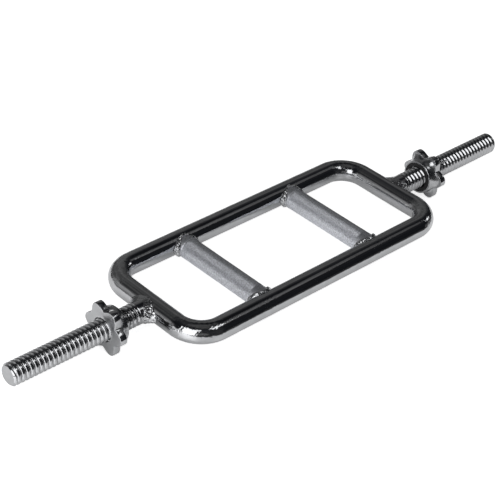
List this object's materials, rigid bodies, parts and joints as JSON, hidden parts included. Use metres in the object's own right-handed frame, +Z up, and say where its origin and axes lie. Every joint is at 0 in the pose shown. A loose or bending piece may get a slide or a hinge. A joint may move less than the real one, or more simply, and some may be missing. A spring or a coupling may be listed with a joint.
{
  "type": "triceps bar",
  "caption": "Chromed spin-lock triceps bar: a rounded rectangular frame with parallel cross grips, and threaded sleeves that carry screw-on star collars.",
  "frame": {"origin": "middle of the bar, on the axis of the sleeves", "axes": "+X along the bar towards its right end, +Y across the frame towards its rear rail, +Z up, square to the frame"},
  "size_m": [0.87, 0.203, 0.0646],
  "materials": {
    "chrome_bar": "polished chrome plate",
    "chrome_thread": "polished chrome plate over rolled thread",
    "chrome_collar": "polished chrome plate over a casting",
    "chrome_weld": "chrome plate over rippled weld",
    "knurled_grip": "satin chrome, finely knurled",
    "black_rubber": "matt black"
  },
  "bodies": {
    "bar": {"front_frame_half": "chrome_bar", "rear_frame_half": "chrome_bar", "left_grip": "knurled_grip", "right_grip": "knurled_grip", "left_grip_front_weld": "chrome_weld", "left_grip_rear_weld": "chrome_weld", "right_grip_front_weld": "chrome_weld", "right_grip_rear_weld": "chrome_weld", "left_sleeve": "chrome_thread", "right_sleeve": "chrome_thread", "left_sleeve_weld": "chrome_weld", "right_sleeve_weld": "chrome_weld"},
    "left_ring": {"left_rubber_ring": "black_rubber"},
    "left_collar": {"left_star_collar": "chrome_collar"},
    "right_ring": {"right_rubber_ring": "black_rubber"},
    "right_collar": {"right_star_collar": "chrome_collar"}
  },
  "joints": [
    {"name": "left_collar_travel", "type": "slide", "parent": "bar", "child": "left_ring", "axis": [-1, 0, 0], "range_m": [-0.0274, 0.165]},
    {"name": "left_collar_turn", "type": "hinge", "parent": "left_ring", "child": "left_collar", "pos_m": [-0.283, 0, 0], "axis": [-1, 0, 0], "range_deg": [-1512, 9135]},
    {"name": "right_collar_travel", "type": "slide", "parent": "bar", "child": "right_ring", "axis": [1, 0, 0], "range_m": [-0.0326, 0.16]},
    {"name": "right_collar_turn", "type": "hinge", "parent": "right_ring", "child": "right_collar", "pos_m": [0.288, 0, 0], "axis": [1, 0, 0], "range_deg": [-1800, 8850]}
  ],
  "couplings": [
    {"joint": "left_collar_travel", "follows": "left_collar_turn", "m_per_rad": 0.0010345},
    {"joint": "right_collar_travel", "follows": "right_collar_turn", "m_per_rad": 0.0010345}
  ]
}
